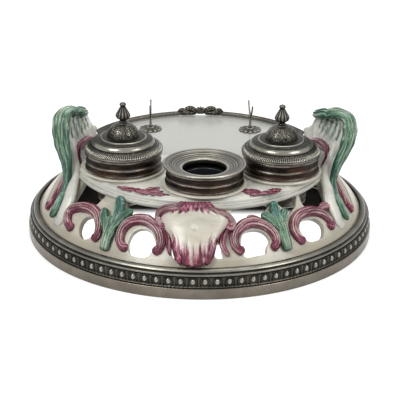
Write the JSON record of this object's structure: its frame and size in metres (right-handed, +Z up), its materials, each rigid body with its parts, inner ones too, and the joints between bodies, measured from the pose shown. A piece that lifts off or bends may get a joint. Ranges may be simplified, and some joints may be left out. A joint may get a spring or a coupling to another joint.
{
  "type": "desk inkstand",
  "caption": "Round glazed earthenware desk inkstand with pierced scrollwork, leaf handles, silver foot ring, pen tray with fork rests, domed lidded wells and an open centre well.",
  "frame": {"origin": "on the ground, at the middle of the foot ring", "axes": "+Z up, +Y towards the back of the pen tray, -Y towards the front with the open centre well, +X to the right seen from the front"},
  "size_m": [0.32, 0.32, 0.1343],
  "materials": {
    "white_glaze": "glossy off-white tin glaze over earthenware, with painted puce and green touches",
    "puce_glaze": "glossy puce enamel brushed over the white glaze",
    "green_glaze": "glossy copper green enamel brushed over the white glaze",
    "silver": "worn silver, tarnished dark in the hollows",
    "liner_glass": "dark ink-stained glass"
  },
  "bodies": {
    "root": {"foot_band": "silver", "egg_band": "silver", "top_moulding": "silver", "apron_wall": "white_glaze", "left_inner_scroll": "puce_glaze", "right_inner_scroll": "puce_glaze", "left_outer_scroll": "puce_glaze", "right_outer_scroll": "puce_glaze", "left_narrow_leaf": "puce_glaze", "right_narrow_leaf": "puce_glaze", "left_leaf_stem": "green_glaze", "right_leaf_stem": "green_glaze", "cartouche": "white_glaze", "left_bracket": "puce_glaze", "right_bracket": "puce_glaze", "deck": "white_glaze", "left_well_cup": "white_glaze", "centre_well_cup": "white_glaze", "right_well_cup": "white_glaze", "left_collar": "silver", "centre_collar": "silver", "right_collar": "silver", "left_pen_rosette": "silver", "right_pen_rosette": "silver", "left_pen_fork": "silver", "right_pen_fork": "silver", "left_pen_fork_nut": "silver", "right_pen_fork_nut": "silver", "gallery_left_rail": "silver", "gallery_right_rail": "silver", "gallery_crest": "silver", "gallery_left_terminal": "silver", "gallery_right_terminal": "silver", "left_handle": "white_glaze", "right_handle": "white_glaze", "left_handle_leaf": "green_glaze", "right_handle_leaf": "green_glaze", "left_volute": "puce_glaze", "right_volute": "puce_glaze", "left_petal": "white_glaze", "right_petal": "white_glaze"},
    "left_liner": {"left_liner": "liner_glass"},
    "left_lid": {"left_lid": "silver", "left_finial": "silver", "left_finial_nut": "silver"},
    "right_liner": {"right_liner": "liner_glass"},
    "right_lid": {"right_lid": "silver", "right_finial": "silver", "right_finial_nut": "silver"},
    "centre_liner": {"centre_liner": "liner_glass"},
    "centre_dish": {"centre_dish": "silver"}
  },
  "joints": [
    {"name": "left_liner_lift", "type": "slide", "parent": "root", "child": "left_liner", "axis": [0, 0, 1], "range_m": [0, 0.05]},
    {"name": "left_lid_lift", "type": "slide", "parent": "left_liner", "child": "left_lid", "axis": [0, 0, 1], "range_m": [0, 0.06]},
    {"name": "right_liner_lift", "type": "slide", "parent": "root", "child": "right_liner", "axis": [0, 0, 1], "range_m": [0, 0.05]},
    {"name": "right_lid_lift", "type": "slide", "parent": "right_liner", "child": "right_lid", "axis": [0, 0, 1], "range_m": [0, 0.06]},
    {"name": "centre_liner_lift", "type": "slide", "parent": "root", "child": "centre_liner", "axis": [0, 0, 1], "range_m": [0, 0.05]},
    {"name": "centre_dish_lift", "type": "slide", "parent": "centre_liner", "child": "centre_dish", "axis": [0, 0, 1], "range_m": [0, 0.045]}
  ]
}
